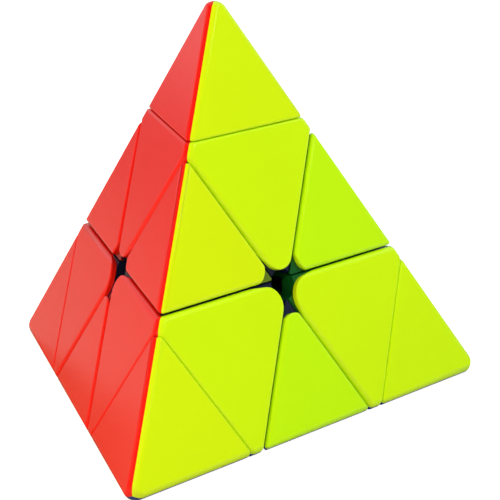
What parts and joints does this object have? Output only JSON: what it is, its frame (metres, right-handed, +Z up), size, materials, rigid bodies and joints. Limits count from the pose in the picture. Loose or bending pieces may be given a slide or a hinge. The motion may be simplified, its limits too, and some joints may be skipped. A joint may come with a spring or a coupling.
{
  "type": "pyramid twisty puzzle",
  "caption": "Pyramid-shaped twisty puzzle with coloured faces, turning corner tips and corner layers, and edge pieces held by trapped feet round a central core.",
  "frame": {"origin": "centre of the pyramid, where the four turning axes meet; the blue face is 21.1 mm below it", "axes": "+Z up through the top corner; the lime face looks towards -Y, the red face towards -X, the green face towards +X and the blue face is underneath"},
  "size_m": [0.0986, 0.0854, 0.0805],
  "materials": {
    "lime": "semi-gloss moulded ABS, fluorescent yellow-green",
    "red": "semi-gloss moulded ABS, bright red",
    "green": "semi-gloss moulded ABS, mid green",
    "blue": "semi-gloss moulded ABS, deep blue",
    "core": "dark grey nylon",
    "screw_steel": "zinc plated",
    "spring_steel": "drawn wire"
  },
  "bodies": {
    "core": {"core": "core", "axis_screws": "screw_steel", "axis_washers": "screw_steel", "tension_springs": "spring_steel"},
    "top_axial": {"top_axial_green": "green", "top_axial_red": "red", "top_axial_lime": "lime", "top_axial_hub": "blue"},
    "top_tip": {"top_tip_green": "green", "top_tip_red": "red", "top_tip_lime": "lime", "top_tip_core": "lime"},
    "left_axial": {"left_axial_blue": "blue", "left_axial_red": "red", "left_axial_lime": "lime", "left_axial_hub": "blue"},
    "left_tip": {"left_tip_blue": "blue", "left_tip_red": "red", "left_tip_lime": "lime", "left_tip_core": "red"},
    "right_axial": {"right_axial_blue": "blue", "right_axial_green": "green", "right_axial_lime": "lime", "right_axial_hub": "green"},
    "right_tip": {"right_tip_blue": "blue", "right_tip_green": "green", "right_tip_lime": "lime", "right_tip_core": "lime"},
    "back_axial": {"back_axial_blue": "blue", "back_axial_green": "green", "back_axial_red": "red", "back_axial_hub": "blue"},
    "back_tip": {"back_tip_blue": "blue", "back_tip_green": "green", "back_tip_red": "red", "back_tip_core": "green"},
    "top_left_edge": {"top_left_edge_red": "red", "top_left_edge_lime": "lime", "top_left_edge_foot": "lime"},
    "top_right_edge": {"top_right_edge_green": "green", "top_right_edge_lime": "lime", "top_right_edge_foot": "green"},
    "top_back_edge": {"top_back_edge_green": "green", "top_back_edge_red": "red", "top_back_edge_foot": "red"},
    "left_right_edge": {"left_right_edge_blue": "blue", "left_right_edge_lime": "lime", "left_right_edge_foot": "blue"},
    "right_back_edge": {"right_back_edge_blue": "blue", "right_back_edge_green": "green", "right_back_edge_foot": "blue"},
    "back_left_edge": {"back_left_edge_blue": "blue", "back_left_edge_red": "red", "back_left_edge_foot": "red"}
  },
  "joints": [
    {"name": "top_layer_turn", "type": "hinge", "parent": "core", "child": "top_axial", "pos_m": [0, 0, 0], "axis": [0, 0, 1], "range_deg": [-240, 120]},
    {"name": "left_layer_turn", "type": "hinge", "parent": "core", "child": "left_axial", "pos_m": [0, 0, 0], "axis": [-0.8165, -0.4714, -0.3333], "range_deg": [-240, 120]},
    {"name": "right_layer_turn", "type": "hinge", "parent": "core", "child": "right_axial", "pos_m": [0, 0, 0], "axis": [0.8165, -0.4714, -0.3333], "range_deg": [-240, 120]},
    {"name": "back_layer_turn", "type": "hinge", "parent": "core", "child": "back_axial", "pos_m": [0, 0, 0], "axis": [0, 0.9428, -0.3333], "range_deg": [-240, 120]},
    {"name": "top_tip_turn", "type": "hinge", "parent": "top_axial", "child": "top_tip", "pos_m": [0, 0, 0], "axis": [0, 0, 1], "continuous": true},
    {"name": "left_tip_turn", "type": "hinge", "parent": "left_axial", "child": "left_tip", "pos_m": [0, 0, 0], "axis": [-0.8165, -0.4714, -0.3333], "continuous": true},
    {"name": "right_tip_turn", "type": "hinge", "parent": "right_axial", "child": "right_tip", "pos_m": [0, 0, 0], "axis": [0.8165, -0.4714, -0.3333], "continuous": true},
    {"name": "back_tip_turn", "type": "hinge", "parent": "back_axial", "child": "back_tip", "pos_m": [0, 0, 0], "axis": [0, 0.9428, -0.3333], "continuous": true},
    {"name": "top_left_edge_with_left_layer", "type": "hinge", "parent": "top_axial", "child": "top_left_edge", "pos_m": [0, 0, 0], "axis": [-0.8165, -0.4714, -0.3333], "range_deg": [-240, 120]},
    {"name": "top_right_edge_with_right_layer", "type": "hinge", "parent": "top_axial", "child": "top_right_edge", "pos_m": [0, 0, 0], "axis": [0.8165, -0.4714, -0.3333], "range_deg": [-240, 120]},
    {"name": "top_back_edge_with_back_layer", "type": "hinge", "parent": "top_axial", "child": "top_back_edge", "pos_m": [0, 0, 0], "axis": [0, 0.9428, -0.3333], "range_deg": [-240, 120]},
    {"name": "left_right_edge_with_right_layer", "type": "hinge", "parent": "left_axial", "child": "left_right_edge", "pos_m": [0, 0, 0], "axis": [0.8165, -0.4714, -0.3333], "range_deg": [-240, 120]},
    {"name": "right_back_edge_with_back_layer", "type": "hinge", "parent": "right_axial", "child": "right_back_edge", "pos_m": [0, 0, 0], "axis": [0, 0.9428, -0.3333], "range_deg": [-240, 120]},
    {"name": "back_left_edge_with_left_layer", "type": "hinge", "parent": "back_axial", "child": "back_left_edge", "pos_m": [0, 0, 0], "axis": [-0.8165, -0.4714, -0.3333], "range_deg": [-240, 120]}
  ],
  "couplings": [
    {"joint": "top_left_edge_with_left_layer", "follows": "left_layer_turn", "ratio": 1},
    {"joint": "top_right_edge_with_right_layer", "follows": "right_layer_turn", "ratio": 1},
    {"joint": "top_back_edge_with_back_layer", "follows": "back_layer_turn", "ratio": 1},
    {"joint": "left_right_edge_with_right_layer", "follows": "right_layer_turn", "ratio": 1},
    {"joint": "right_back_edge_with_back_layer", "follows": "back_layer_turn", "ratio": 1},
    {"joint": "back_left_edge_with_left_layer", "follows": "left_layer_turn", "ratio": 1}
  ]
}
